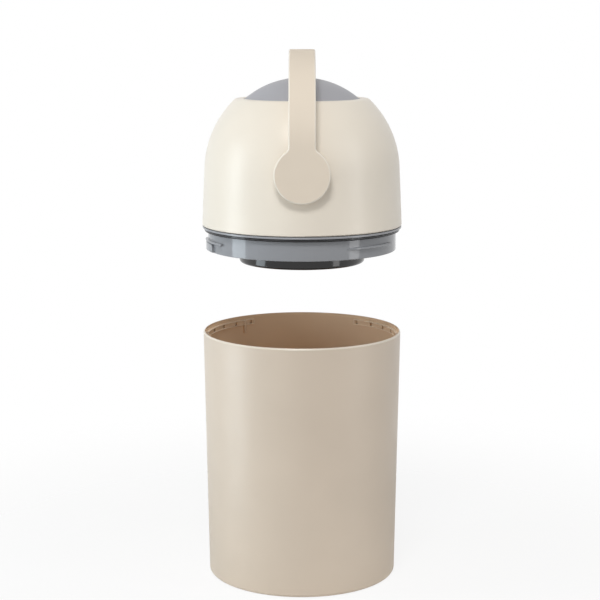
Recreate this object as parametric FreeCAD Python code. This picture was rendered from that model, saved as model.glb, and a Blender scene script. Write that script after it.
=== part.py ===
import FreeCAD, Part
import math
import os

from FreeCAD import Vector

# Diaper pail: a bin, a domed head that lifts off it, and a drum in the head that the bail handle turns over.
# Sizes are in millimetres and angles in degrees. The origin is the middle of the bin's foot on the floor,
# +Z points up and the front looks towards -Y. Azimuths start at the front and grow towards +X.
# In the head, heights named level are counted from the drum's pivot axis.

# Fits
fit_play = 0.15
running_gap = 0.4
thread_play = 0.1
pilot_spare = 1.0
hole_cap = 1.4

# How far a cutting shape runs past the faces it cuts
over = 1.0

# Bin
bin_height = 340.0
rim_radius = 135.0
bin_draft = 1.0
bin_wall = 3.0
bin_floor = 3.5
base_round = 5.0
inner_round = 4.0
foot_width = 12.0
foot_recess = 1.5
lip_wall = 2.0
lip_inner_round = 0.3
lip_flat = 0.2

# Where the head is held above the bin, as if lifted off by its handle
head_raise = 142.0
seat_gap = 0.5

# Bayonet between head and bin
lug_count = 3
lug_azimuth = 46.0
lug_arc = 38.0
lug_height = 3.0
lug_drop = 17.4
lug_bevel = 0.6
lug_wall_gap = 0.7
lock_turn = 47.0
track_arc = 53.0
track_lead = -0.5
track_top_drop = 5.5
track_inset = 3.3
track_bevel = 0.8
track_bead = 1.6
track_recess = 0.8
track_play = 0.5
track_slot_count = 5
track_slot_pitch = 12.0
track_slot_width = 2.4
track_slot_margin = 0.3
track_slot_depth = 3.0
stop_rib_width = 3.0
stop_rib_drop = 5.0
stop_rib_height = 20.0
stop_play = 0.5
stop_block_arc = 18.0
stop_block_lead = 12.0
stop_block_round = 3.5
stop_block_drop = 1.0

# Collar and its gasket
plate_thickness = 3.4
gasket_thickness = 4.0
gasket_inset = 0.4
flange_inset = 0.7
flange_round = 1.0
shadow_gap = 0.8
shadow_inset = 1.4
skirt_inset = 5.5
skirt_wall = 2.5
skirt_depth = 33.0
skirt_round = 0.8
gusset_count = 12
gusset_width = 2.0
gusset_reach = 11.0
gusset_foot = 2.2
gusset_height = 14.0
collar_screw_count = 6
collar_screw_start = 15.0

# Drum
ball_inset = 16.4
ball_wall = 2.5
bore_radius = 62.0
tube_wall = 2.5
mouth_lip = 4.0
mouth_ring_width = 8.0
mouth_ring_edge = 3.5
mouth_flange = 3.0
ring_screw_count = 4
ring_screw_start = 45.0
ball_boss_radius = 5.0
ball_boss_inset = 13.6
ball_boss_angle = 17.0
ball_boss_solid = 10.0
ball_screw_bite = 8.0

# Dome
ball_dip = 39.6
ball_show = 27.6
dome_overhang = 0.3
dome_edge_round = 1.6
dome_wall = 3.0
crown_gap = 10.2
crown_drop = 6.0
dome_top_round = 6.0
mouth_gap = 2.0
mouth_round = 1.0
dome_boss_radius = 4.5
dome_boss_height = 18.0
dome_boss_inset = 11.0
dome_rib_width = 3.0

# Seals round the ball
top_seal_height = 3.0
top_seal_land = 4.7
retainer_plate = 2.0
retainer_upstand = 3.0
lower_seal_height = 6.5
lower_seal_land = 5.3

# Chute ring under the collar
chute_step = 6.0
chute_wall = 3.0
chute_depth = 51.0
chute_inner_round = 1.0
chute_lip = 4.0
chute_flange = 2.5
chute_flange_gap = 4.0
chute_seat_wall = 2.5
chute_screw_count = 6
chute_boss_radius = 4.0
chute_boss_height = 8.0

# Trunnions, bushes and handle
pivot_boss_radius = 17.0
pivot_boss_proud = 0.75
pivot_boss_clear = 1.4
trunnion_radius = 10.0
trunnion_flange_radius = 18.0
trunnion_flange = 3.4
trunnion_screw_circle = 14.0
trunnion_screw_count = 4
trunnion_screw_start = 45.0
trunnion_pad_radius = 20.0
trunnion_pad_depth = 3.1
drive_side = 13.0
drive_skin = 3.7
bush_wall = 2.7
bush_flange_width = 3.5
bush_flange = 1.5
bush_play = 0.3
disc_radius = 36.5
disc_thickness = 9.0
disc_gap = 0.6
disc_skin = 2.0
band_width = 35.0
band_thickness = 6.0
finger_gap = 31.4
arch_foot_level = 40.0
arch_flatness = 14.5
neck_round = 8.0
handle_outer_round = 2.0
handle_inner_round = 1.2

# Piston
piston_gap = 0.7
piston_length = 55.0
piston_wall = 4.0
piston_end = 2.5
piston_cap_plate = 3.0
piston_spigot = 4.0
piston_end_play = 0.3
wiper_width = 4.0
wiper_depth = 2.0
wiper_gap = 0.3
weight_gap = 5.0
weight_thickness = 10.0
weight_post_radius = 6.0
piston_boss_inset = 6.3
piston_boss_radius = 4.0
cap_screw_count = 4
cap_screw_bite = 16.0

# Screws: shank radius, head radius, head height, length of the cross recess
small_screw = (1.25, 2.4, 1.6, 2.4)
case_screw = (1.75, 3.4, 2.2, 3.4)
drive_screw = (2.0, 4.0, 3.0, 4.0)
clamp_screw = (2.0, 9.0, 2.2, 4.0)
recess_width = 0.8

# Worked out from the sizes above
ball_radius = rim_radius - ball_inset
pivot_above_edge = ball_radius - ball_dip
edge_level = -pivot_above_edge
dome_top_level = ball_radius - ball_show
seat_z = bin_height + seat_gap + plate_thickness
edge_z = seat_z + head_raise
pivot_z = edge_z + pivot_above_edge
dome_edge_radius = rim_radius + dome_overhang
crown_radius = ball_radius + crown_gap + dome_wall
crown_center_level = -crown_drop
lip_inner = rim_radius - lip_wall
flange_radius = dome_edge_radius - flange_inset
gasket_radius = lip_inner - gasket_inset
plate_level = edge_level - plate_thickness
gasket_level = plate_level - gasket_thickness
rabbet_z = seat_z - plate_thickness - gasket_thickness
skirt_radius = lip_inner - skirt_inset
skirt_level = edge_level - skirt_depth
lug_level = edge_level - lug_drop
track_bottom_z = seat_z - lug_drop + track_play
track_top_z = bin_height - track_top_drop
ball_inner = ball_radius - ball_wall
tube_outer = bore_radius + tube_wall
mouth_ring_outer = bore_radius + mouth_ring_width
pad_level = ball_inner - trunnion_pad_depth
chute_level = edge_level - chute_depth

os.makedirs("parts", exist_ok=True)


def at(r, z):
    return Vector(r, 0, z)


def tangent(angle):
    return math.tan(math.radians(angle))


def arc(center, radius, start, end):
    angles = [math.radians(a) for a in (start, (start + end) / 2, end)]
    return [center + at(radius * math.cos(a), radius * math.sin(a)) for a in angles]


def outline(*items):
    # A closed face in the XZ plane, through corner points and three-point arcs
    corners = [[item] if isinstance(item, Vector) else item for item in items]
    edges = []
    for here, after in zip(corners, corners[1:] + corners[:1]):
        if len(here) == 3:
            edges.append(Part.Arc(*here).toShape())
        if (after[0] - here[-1]).Length > 1e-6:
            edges.append(Part.makeLine(here[-1], after[0]))
    return Part.Face(Part.Wire(edges))


def turned(face, sweep=360.0):
    return face.revolve(Vector(), Vector(0, 0, 1), sweep)


def ring(inner, outer, low, high):
    return turned(outline(at(inner, low), at(outer, low), at(outer, high), at(inner, high)))


def rod(radius, low, high):
    return Part.makeCylinder(radius, high - low, Vector(0, 0, low))


def block(width, depth, low, high):
    return Part.makeBox(width, depth, high - low, Vector(-width / 2, -depth / 2, low))


def moved(shape, x, y, z=0.0):
    return shape.translated(Vector(x, y, z))


def spun(shape, angle):
    return shape.rotated(Vector(), Vector(0, 0, 1), angle)


def to_azimuth(shape, azimuth):
    # Turns what was built along +X to face an azimuth
    return spun(shape, azimuth - 90)


def around(shape, count, first=0.0):
    return [to_azimuth(shape, first + 360.0 * i / count) for i in range(count)]


def toward(side, shape):
    # Turns what was built along +Z to point out of one side of the head
    axis, angle = {
        "front": (Vector(1, 0, 0), 90),
        "rear": (Vector(1, 0, 0), -90),
        "right": (Vector(0, 1, 0), 90),
        "left": (Vector(0, 1, 0), -90),
    }[side]
    return shape.rotated(Vector(), axis, angle)


def joined(first, *others):
    return first.multiFuse(list(others))


def sphere_radius(radius, level):
    return math.sqrt(radius * radius - level * level)


def save(name, *solids):
    shape = solids[0] if len(solids) == 1 else Part.makeCompound(solids)
    shape.exportStep("parts/" + name + ".step")


def save_in_head(name, *solids):
    save(name, *[moved(solid, 0, 0, pivot_z) for solid in solids])


# Screws point up from their seat at the origin


def screw(kind, length):
    shank, head, height, recess = kind
    bevel = height / 3
    body = turned(
        outline(
            at(0, -height),
            at(head - bevel, -height),
            at(head, bevel - height),
            at(head, 0),
            at(shank, 0),
            at(shank, length - shank),
            at(shank / 2, length),
            at(0, length),
        )
    )
    slot = block(recess, recess_width, -height, -height / 2)
    return body.cut(slot).cut(spun(slot, 90))


def screw_hole(kind, low, high):
    return rod(kind[0] + thread_play, low, high)


# Bin


def bin_radius(z):
    return rim_radius - (bin_height - z) * tangent(bin_draft)


def corner_center(wall_radius, floor_z, radius, lean_angle):
    # Middle of a round between a flat floor and a wall that leans outwards going up
    lean = math.radians(lean_angle)
    return at(wall_radius - radius * (1 - math.sin(lean)) / math.cos(lean), floor_z + radius)


def bin_shell():
    floor_top = foot_recess + bin_floor
    outer_corner = corner_center(bin_radius(0), 0, base_round, bin_draft)
    inner_corner = corner_center(bin_radius(floor_top) - bin_wall, floor_top, inner_round, bin_draft)
    foot_inner = outer_corner.x - foot_width
    outer_round = lip_wall - lip_inner_round - lip_flat
    return turned(
        outline(
            at(0, foot_recess),
            at(foot_inner - foot_recess, foot_recess),
            at(foot_inner, 0),
            arc(outer_corner, base_round, -90, -bin_draft),
            arc(at(rim_radius - outer_round, bin_height - outer_round), outer_round, 0, 90),
            arc(at(lip_inner + lip_inner_round, bin_height - lip_inner_round), lip_inner_round, 90, 180),
            at(lip_inner, rabbet_z),
            at(bin_radius(rabbet_z) - bin_wall, rabbet_z),
            arc(inner_corner, inner_round, -bin_draft, -90),
            at(0, floor_top),
        )
    )


def wall_middle(z):
    return bin_radius(z) - bin_wall / 2


def track():
    # A band with a raised bead all round and slots through the middle
    inner = rim_radius - bin_wall - track_inset
    face = inner + track_recess
    bead_low = track_bottom_z + track_bead
    bead_high = track_top_z - track_bead
    rim = [
        at(inner, track_bottom_z),
        at(wall_middle(track_bottom_z), track_bottom_z),
        at(wall_middle(track_top_z), track_top_z),
        at(inner + track_bevel, track_top_z),
        at(inner, track_top_z - track_bevel),
    ]
    hollow = [at(inner, bead_high), at(face, bead_high), at(face, bead_low), at(inner, bead_low)]
    band = spun(turned(outline(*rim, *hollow), track_arc), -track_arc / 2)
    end_arc = math.degrees(track_bead / inner)
    end = turned(outline(*rim), end_arc)
    band = joined(band, spun(end, -track_arc / 2), spun(end, track_arc / 2 - end_arc))
    middle_z = (track_bottom_z + track_top_z) / 2
    round_radius = track_slot_width / 2
    half_straight = (bead_high - bead_low) / 2 - track_slot_margin - round_radius
    length = track_slot_depth + over
    slot = block(track_slot_width, length, -half_straight, half_straight)
    for tip in (-half_straight, half_straight):
        start = Vector(0, -length / 2, tip)
        slot = slot.fuse(Part.makeCylinder(round_radius, length, start, Vector(0, 1, 0)))
    slot = moved(spun(slot, 90), inner - over + length / 2, 0, middle_z)
    first = -track_slot_pitch * (track_slot_count - 1) / 2
    for i in range(track_slot_count):
        band = band.cut(spun(slot, first + track_slot_pitch * i))
    return band


def stop_rib():
    # Meets the leading end of the last lug when the head is locked
    low = bin_height - stop_rib_drop - stop_rib_height
    inner = rim_radius - bin_wall - track_inset
    depth = wall_middle(low) - inner
    rib = Part.makeBox(depth, stop_rib_width, stop_rib_height, Vector(inner, -stop_rib_width / 2, low))
    last_lug = lug_azimuth - 360.0 / lug_count
    half_width = math.degrees(stop_rib_width / 2 / inner)
    return to_azimuth(rib, last_lug - lug_arc / 2 - lock_turn - stop_play - half_width)


track_azimuth = lug_azimuth - lock_turn + track_lead
tracks = around(track(), lug_count, track_azimuth)
save("bin", joined(bin_shell(), stop_rib(), *tracks))
save_in_head("rim_gasket", ring(skirt_radius + running_gap, gasket_radius, gasket_level, plate_level))


# Dome. Its outside is a cone that runs tangent into a round crown, cut off flat round the ball


def flare_angle():
    reach = math.hypot(dome_edge_radius, edge_level - crown_center_level)
    slope = math.degrees(math.atan2(edge_level - crown_center_level, dome_edge_radius))
    return slope + math.degrees(math.acos(crown_radius / reach))


flare = flare_angle()
crown_center = at(0, crown_center_level)
crown_foot = crown_center + at(
    crown_radius * math.cos(math.radians(flare)), crown_radius * math.sin(math.radians(flare))
)
mouth_radius = sphere_radius(ball_radius, dome_top_level) + mouth_gap
seal_top_level = dome_top_level - dome_wall
seal_foot_level = seal_top_level - top_seal_height
retainer_level = seal_foot_level - retainer_upstand
seal_face = ball_radius + running_gap
seal_seat_radius = sphere_radius(seal_face, seal_foot_level) + top_seal_land
crown_inner = crown_radius - dome_wall
retainer_radius = sphere_radius(crown_inner, retainer_level - crown_center_level) - running_gap
dome_boss_circle = dome_edge_radius - dome_wall - dome_boss_inset


def dome_radius(level):
    if level < crown_foot.z:
        return crown_foot.x + (crown_foot.z - level) * tangent(flare)
    return sphere_radius(crown_radius, level - crown_center_level)


pivot_face = dome_radius(0) + pivot_boss_proud
pivot_back = ball_radius + pivot_boss_clear
bush_bore = trunnion_radius + bush_play
bush_radius = bush_bore + bush_wall


def dome_skin():
    edge_corner = corner_center(dome_edge_radius, edge_level, dome_edge_round, -flare)
    round_level = dome_top_level - dome_top_round
    rounding_radius = sphere_radius(crown_radius - dome_top_round, round_level - crown_center_level)
    crown_end = math.degrees(math.atan2(round_level - crown_center_level, rounding_radius))
    inner_end = math.degrees(math.asin((retainer_level - crown_center_level) / crown_inner))
    return turned(
        outline(
            at(dome_edge_radius - dome_wall / math.cos(math.radians(flare)), edge_level),
            arc(edge_corner, dome_edge_round, -90, flare),
            arc(crown_center, crown_radius, flare, crown_end),
            arc(at(rounding_radius, round_level), dome_top_round, crown_end, 90),
            arc(at(mouth_radius + mouth_round, dome_top_level - mouth_round), mouth_round, 90, 180),
            at(sphere_radius(seal_face, seal_top_level), seal_top_level),
            at(seal_seat_radius, seal_top_level),
            at(seal_seat_radius, retainer_level),
            arc(crown_center, crown_inner, inner_end, flare),
        )
    )


def dome_boss():
    # Screw boss with a rib back to the wall
    boss = moved(rod(dome_boss_radius, edge_level, edge_level + dome_boss_height), dome_boss_circle, 0)
    wall_inner = dome_radius(edge_level + dome_boss_height) - dome_wall / 2
    rib_length = wall_inner - dome_boss_circle
    rib_corner = Vector(dome_boss_circle, -dome_rib_width / 2, edge_level)
    return boss.fuse(Part.makeBox(rib_length, dome_rib_width, dome_boss_height, rib_corner))


def dome():
    pivot_boss = rod(pivot_boss_radius, pivot_back, pivot_face)
    pivot_bore = rod(bush_radius + fit_play, pivot_back - over, pivot_face + over)
    bosses = around(dome_boss(), collar_screw_count, collar_screw_start)
    sides = ("front", "rear")
    body = joined(dome_skin(), *bosses, *[toward(side, pivot_boss) for side in sides])
    holes = [toward(side, pivot_bore) for side in sides]
    boss_hole = screw_hole(case_screw, edge_level - over, edge_level + dome_boss_height - hole_cap)
    holes += around(moved(boss_hole, dome_boss_circle, 0), collar_screw_count, collar_screw_start)
    return body.cut(Part.makeCompound(holes))


save_in_head("dome", dome())


# Top seal and the retainer pressed into the dome under it


def top_seal():
    low_angle = math.degrees(math.asin(seal_foot_level / seal_face))
    high_angle = math.degrees(math.asin(seal_top_level / seal_face))
    return turned(
        outline(
            arc(at(0, 0), seal_face, high_angle, low_angle),
            at(seal_seat_radius - fit_play, seal_foot_level),
            at(seal_seat_radius - fit_play, seal_top_level),
        )
    )


def top_seal_retainer():
    foot_level = retainer_level - retainer_plate
    face = seal_face + fit_play
    low_angle = math.degrees(math.asin(foot_level / face))
    high_angle = math.degrees(math.asin(seal_foot_level / face))
    return turned(
        outline(
            arc(at(0, 0), face, high_angle, low_angle),
            at(retainer_radius, foot_level),
            at(retainer_radius, retainer_level),
            at(seal_seat_radius - fit_play, retainer_level),
            at(seal_seat_radius - fit_play, seal_foot_level),
        )
    )


save_in_head("top_seal", top_seal())
save_in_head("top_seal_retainer", top_seal_retainer())


# Collar with its lugs, the chute ring under it and the lower seal between them

lower_seal_level = plate_level - lower_seal_height
lower_seal_radius = sphere_radius(seal_face, plate_level) + lower_seal_land
chute_seat_radius = lower_seal_radius + fit_play
chute_seat_outer = chute_seat_radius + chute_seat_wall
chute_radius = lower_seal_radius - chute_step
gusset_tip = skirt_radius - skirt_wall - gusset_reach
chute_flange_radius = gusset_tip - chute_flange_gap
chute_screw_circle = (chute_seat_outer + chute_flange_radius) / 2
plate_hole = sphere_radius(seal_face, edge_level) + fit_play
lug_radius = bin_radius(bin_height - skirt_depth) - bin_wall - lug_wall_gap / 2


def lug():
    root = skirt_radius - skirt_wall / 2
    low = lug_level - lug_height
    section = outline(
        at(root, low),
        at(lug_radius - lug_bevel, low),
        at(lug_radius, low + lug_bevel),
        at(lug_radius, lug_level - lug_bevel),
        at(lug_radius - lug_bevel, lug_level),
        at(root, lug_level),
    )
    return spun(turned(section, lug_arc), -lug_arc / 2)


def stop_block():
    # Stands under the lug, with its upper front corner rounded
    root = skirt_radius - skirt_wall / 2
    top = lug_level - lug_height - stop_block_drop
    section = outline(
        at(root, skirt_level + skirt_round),
        at(lug_radius - lug_bevel, skirt_level + skirt_round),
        at(lug_radius - lug_bevel, top),
        at(root, top),
    )
    body = turned(section, stop_block_arc)
    middle = spun(Part.Vertex(at((root + lug_radius - lug_bevel) / 2, top)), stop_block_arc).Point
    corner = [edge for edge in body.Edges if (edge.CenterOfMass - middle).Length < 0.01]
    body = body.makeFillet(stop_block_round, corner)
    return spun(body, lug_arc / 2 - stop_block_lead - stop_block_arc)


def gusset():
    skirt_inner = skirt_radius - skirt_wall / 2
    face = outline(
        at(gusset_tip, plate_level + plate_thickness / 2),
        at(skirt_inner, plate_level + plate_thickness / 2),
        at(skirt_inner, plate_level - gusset_height),
        at(skirt_radius - skirt_wall - gusset_foot, plate_level - gusset_height),
    )
    return moved(face.extrude(Vector(0, gusset_width, 0)), 0, -gusset_width / 2)


def collar():
    # Its flange shows under the dome's edge, across a narrow gap
    flange_top = edge_level - shadow_gap
    flange_middle = flange_radius - flange_round
    body = turned(
        outline(
            at(plate_hole, edge_level),
            at(flange_radius - shadow_inset, edge_level),
            at(flange_radius - shadow_inset, flange_top),
            arc(at(flange_middle, flange_top - flange_round), flange_round, 90, 0),
            arc(at(flange_middle, plate_level + flange_round), flange_round, 0, -90),
            at(skirt_radius, plate_level),
            arc(at(skirt_radius - skirt_round, skirt_level + skirt_round), skirt_round, 0, -90),
            at(skirt_radius - skirt_wall, skirt_level),
            at(skirt_radius - skirt_wall, plate_level),
            at(plate_hole, plate_level),
        )
    )
    lugs = around(lug(), lug_count, lug_azimuth)
    block_azimuth = lug_azimuth - 360.0 / lug_count
    gussets = around(gusset(), gusset_count)
    boss = moved(rod(chute_boss_radius, edge_level, edge_level + chute_boss_height), chute_screw_circle, 0)
    bosses = around(boss, chute_screw_count)
    body = joined(body, *lugs, to_azimuth(stop_block(), block_azimuth), *gussets, *bosses)
    boss_hole = screw_hole(case_screw, plate_level - over, edge_level + chute_boss_height - hole_cap)
    holes = around(moved(boss_hole, chute_screw_circle, 0), chute_screw_count)
    plate_screw_hole = screw_hole(case_screw, plate_level - over, edge_level + over)
    holes += around(moved(plate_screw_hole, dome_boss_circle, 0), collar_screw_count, collar_screw_start)
    return body.cut(Part.makeCompound(holes))


def chute_ring():
    # Its foot curls inwards round the outlet
    bore = chute_radius - chute_wall
    curl = at(bore - chute_inner_round, chute_level + chute_wall + chute_inner_round)
    body = turned(
        outline(
            arc(curl, chute_inner_round, 0, -90),
            at(bore - chute_lip, chute_level + chute_wall),
            at(bore - chute_lip, chute_level),
            arc(curl, chute_inner_round + chute_wall, -90, 0),
            at(chute_radius, lower_seal_level - chute_seat_wall),
            at(chute_seat_outer, lower_seal_level - chute_seat_wall),
            at(chute_seat_outer, plate_level - chute_flange),
            at(chute_flange_radius, plate_level - chute_flange),
            at(chute_flange_radius, plate_level),
            at(chute_seat_radius, plate_level),
            at(chute_seat_radius, lower_seal_level),
            at(bore, lower_seal_level),
        )
    )
    hole = screw_hole(case_screw, plate_level - chute_flange - over, plate_level + over)
    holes = around(moved(hole, chute_screw_circle, 0), chute_screw_count)
    return body.cut(Part.makeCompound(holes))


def lower_seal():
    low_angle = math.degrees(math.asin(lower_seal_level / seal_face))
    high_angle = math.degrees(math.asin(plate_level / seal_face))
    return turned(
        outline(
            arc(at(0, 0), seal_face, low_angle, high_angle),
            at(lower_seal_radius, plate_level),
            at(lower_seal_radius, lower_seal_level),
        )
    )


save_in_head("collar", collar())
save_in_head("chute_ring", chute_ring())
save_in_head("lower_seal", lower_seal())
collar_screw = screw(case_screw, plate_thickness + dome_boss_height - hole_cap - pilot_spare)
collar_screw = moved(collar_screw, dome_boss_circle, 0, plate_level)
save_in_head("collar_screws", *around(collar_screw, collar_screw_count, collar_screw_start))
chute_screw_bite = plate_thickness + chute_boss_height - hole_cap - pilot_spare
chute_screw = screw(case_screw, chute_flange + chute_screw_bite)
chute_screw = moved(chute_screw, chute_screw_circle, 0, plate_level - chute_flange)
save_in_head("chute_screws", *around(chute_screw, chute_screw_count))


# Drum: two half balls round a tube, closed by a ring at each mouth. Each half is built with its mouth up


def skin_over(circle):
    # Level of the ball's skin over the outer side of a small screw
    return sphere_radius(ball_radius, circle + small_screw[0] + thread_play)


ball_boss_circle = ball_inner - ball_boss_inset
ball_boss_reach = ball_boss_circle * math.cos(math.radians(ball_boss_angle))
ball_boss_rise = ball_boss_circle * math.sin(math.radians(ball_boss_angle))
ball_boss_places = [(x * ball_boss_rise, y * ball_boss_reach) for x in (-1, 1) for y in (-1, 1)]
ring_hole = mouth_ring_outer + fit_play
mouth_level = sphere_radius(ball_radius, mouth_ring_outer) - mouth_ring_edge
ring_screw_circle = (tube_outer + mouth_ring_outer) / 2
ring_hole_end = skin_over(ring_screw_circle) - hole_cap
trunnion_hole_end = skin_over(trunnion_screw_circle) - hole_cap


def half_skin():
    tube_hole = tube_outer + fit_play
    flange_level = mouth_level - mouth_flange
    outer_end = math.degrees(math.acos(ring_hole / ball_radius))
    inner_end = math.degrees(math.asin(flange_level / ball_inner))
    return turned(
        outline(
            at(ball_inner, 0),
            arc(at(0, 0), ball_radius, 0, outer_end),
            at(ring_hole, mouth_level),
            at(tube_hole, mouth_level),
            at(tube_hole, flange_level),
            arc(at(0, 0), ball_inner, inner_end, 0),
        )
    )


def half_ball(hole_depth, counterbored):
    skin_middle = Part.makeSphere(ball_radius - ball_wall / 2)
    upper = block(3 * ball_radius, 3 * ball_radius, 0, 2 * ball_radius)
    inside = skin_middle.common(upper)
    bosses = [moved(rod(ball_boss_radius, 0, ball_radius), x, y) for x, y in ball_boss_places]
    pad = rod(trunnion_pad_radius, pad_level, ball_radius)
    pads = [toward(side, pad) for side in ("front", "rear")]
    solids = [solid.common(inside) for solid in bosses + pads]
    body = joined(half_skin(), *solids)
    holes = [toward(side, rod(trunnion_radius + fit_play, 0, 2 * ball_radius)) for side in ("front", "rear")]
    pilot = moved(screw_hole(small_screw, pad_level - over, trunnion_hole_end), trunnion_screw_circle, 0)
    pilots = around(pilot, trunnion_screw_count, trunnion_screw_start)
    holes += [toward(side, hole) for hole in pilots for side in ("front", "rear")]
    flange_hole = screw_hole(small_screw, mouth_level - mouth_flange - over, mouth_level + over)
    holes += around(moved(flange_hole, ring_screw_circle, 0), ring_screw_count, ring_screw_start)
    for x, y in ball_boss_places:
        holes.append(moved(screw_hole(case_screw, -over, hole_depth), x, y))
        if counterbored:
            holes.append(moved(rod(case_screw[1] + running_gap, ball_boss_solid, ball_radius), x, y))
    return body.cut(Part.makeCompound(holes))


def mouth_ring():
    lip_radius = bore_radius - mouth_lip
    low_angle = math.degrees(math.acos(mouth_ring_outer / ball_radius))
    high_angle = math.degrees(math.acos(lip_radius / ball_radius))
    body = turned(
        outline(
            at(lip_radius, mouth_level),
            at(mouth_ring_outer, mouth_level),
            arc(at(0, 0), ball_radius, low_angle, high_angle),
        )
    )
    hole = moved(screw_hole(small_screw, mouth_level - over, ring_hole_end), ring_screw_circle, 0)
    return body.cut(Part.makeCompound(around(hole, ring_screw_count, ring_screw_start)))


save_in_head("ball_left_shell", toward("left", half_ball(ball_screw_bite + pilot_spare, False)))
save_in_head("ball_right_shell", toward("right", half_ball(ball_boss_solid + over, True)))
save_in_head("chamber_tube", toward("right", ring(bore_radius, tube_outer, -mouth_level, mouth_level)))
save_in_head("left_mouth_ring", toward("left", mouth_ring()))
save_in_head("right_mouth_ring", toward("right", mouth_ring()))
ring_screw = screw(small_screw, mouth_flange + ring_hole_end - pilot_spare - mouth_level)
ring_screw = moved(ring_screw, ring_screw_circle, 0, mouth_level - mouth_flange)
ring_screws = around(ring_screw, ring_screw_count, ring_screw_start)
save_in_head("mouth_ring_screws", *[toward(side, one) for one in ring_screws for side in ("left", "right")])
ball_screw = screw(case_screw, ball_boss_solid + ball_screw_bite).rotated(Vector(), Vector(1, 0, 0), 180)
ball_screws = [moved(ball_screw, x, y, ball_boss_solid) for x, y in ball_boss_places]
save_in_head("ball_screws", *[toward("right", one) for one in ball_screws])


# Trunnions in their bushes. Each is built pointing up and then turned to the front or rear

disc_face = pivot_face + bush_flange + disc_gap
disc_outer = disc_face + disc_thickness
shaft_end = disc_face - fit_play
drive_end = disc_outer - drive_skin
drive_hole = drive_side + 2 * fit_play


def trunnion():
    flange = rod(trunnion_flange_radius, pad_level - trunnion_flange, pad_level)
    shaft = rod(trunnion_radius, pad_level - trunnion_flange, shaft_end)
    drive = block(drive_side, drive_side, pad_level, drive_end)
    body = joined(flange, shaft, drive)
    hole = screw_hole(small_screw, pad_level - trunnion_flange - over, pad_level + over)
    holes = around(moved(hole, trunnion_screw_circle, 0), trunnion_screw_count, trunnion_screw_start)
    holes.append(screw_hole(drive_screw, 0, disc_outer))
    return body.cut(Part.makeCompound(holes))


def bush():
    sleeve = ring(bush_bore, bush_radius, pivot_back, pivot_face)
    bush_flange_radius = bush_radius + bush_flange_width
    return joined(sleeve, ring(bush_bore, bush_flange_radius, pivot_face, pivot_face + bush_flange))


trunnion_screw = screw(small_screw, trunnion_flange + trunnion_hole_end - pilot_spare - pad_level)
trunnion_screw = moved(trunnion_screw, trunnion_screw_circle, 0, pad_level - trunnion_flange)
trunnion_screws = around(trunnion_screw, trunnion_screw_count, trunnion_screw_start)
handle_screw_seat = pad_level - trunnion_flange
handle_hole_end = disc_outer - disc_skin
handle_screw_length = handle_hole_end - pilot_spare - handle_screw_seat
handle_screw = moved(screw(drive_screw, handle_screw_length), 0, 0, handle_screw_seat)
for side in ("front", "rear"):
    save_in_head(side + "_trunnion", toward(side, trunnion()))
    save_in_head(side + "_bush", toward(side, bush()))
save_in_head("trunnion_screws", *[toward(side, one) for one in trunnion_screws for side in ("front", "rear")])
save_in_head("handle_screws", *[toward(side, handle_screw) for side in ("front", "rear")])


# Handle: an arch of flat band between two discs, with hollow necks where they meet


def handle_arch():
    top = ball_radius + finger_gap + band_thickness
    top_radius = disc_outer + arch_flatness
    top_center = at(0, top - top_radius)
    fall = arch_foot_level - top_center.z
    corner = (top_radius**2 - disc_outer**2 - fall**2) / (2 * arch_flatness)
    right = at(disc_outer - corner, arch_foot_level)
    left = at(corner - disc_outer, arch_foot_level)
    turn = math.degrees(math.atan2(fall, right.x))
    inner_corner = corner - band_thickness
    inner_top = top_radius - band_thickness
    face = outline(
        arc(right, corner, 0, turn),
        arc(top_center, top_radius, turn, 180 - turn),
        arc(left, corner, 180 - turn, 180),
        arc(left, inner_corner, 180, 180 - turn),
        arc(top_center, inner_top, 180 - turn, turn),
        arc(right, inner_corner, turn, 0),
    )
    arch = moved(face.extrude(Vector(0, band_width, 0)), 0, -band_width / 2)
    curved = [edge for edge in arch.Edges if edge.Curve.TypeId == "Part::GeomCircle"]
    outer = [edge for edge in curved if min(abs(edge.Curve.Radius - r) for r in (corner, top_radius)) < 0.01]
    inner = [edge for edge in curved if not any(edge.isSame(other) for other in outer)]
    arch = arch.makeFillet(handle_outer_round, outer)
    inner = [edge for edge in arch.Edges if any(same_place(edge, other) for other in inner)]
    return spun(arch.makeFillet(handle_inner_round, inner), 90)


def same_place(one, other):
    return (one.CenterOfMass - other.CenterOfMass).Length < 0.01 and abs(one.Length - other.Length) < 0.01


def handle_leg():
    # Disc, necks and the foot of the band, lying flat with its outer face up and the band towards +Y
    half = band_width / 2
    neck_level = math.sqrt((disc_radius + neck_round) ** 2 - (half + neck_round) ** 2)
    turn = math.degrees(math.atan2(neck_level, half + neck_round))
    foot = max(arch_foot_level, neck_level)
    face = outline(
        at(half, foot),
        arc(at(half + neck_round, neck_level), neck_round, 180, 180 + turn),
        arc(at(0, 0), disc_radius, turn, -180 - turn),
        arc(at(-half - neck_round, neck_level), neck_round, -turn, 0),
        at(-half, foot),
    )
    leg = face.extrude(Vector(0, -band_thickness, 0)).rotated(Vector(), Vector(1, 0, 0), -90)
    leg = moved(leg, 0, 0, disc_outer - band_thickness)
    rim = [edge for edge in leg.Edges if edge.CenterOfMass.z > disc_outer - 0.01]
    rim = [edge for edge in rim if abs(edge.CenterOfMass.y) < foot - 0.01]
    leg = leg.makeFillet(handle_outer_round, rim)
    hub = rod(disc_radius, disc_face, disc_outer - band_thickness)
    pocket = block(drive_hole, drive_hole, disc_face - over, drive_end + fit_play)
    pilot = screw_hole(drive_screw, disc_face, handle_hole_end)
    return joined(leg, hub).cut(pocket).cut(pilot)


front_leg = toward("front", handle_leg())
rear_leg = spun(front_leg, 180)
save_in_head("handle", joined(handle_arch(), front_leg, rear_leg))


# Weighted piston, built pointing up from its closed end and laid along the tube

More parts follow.
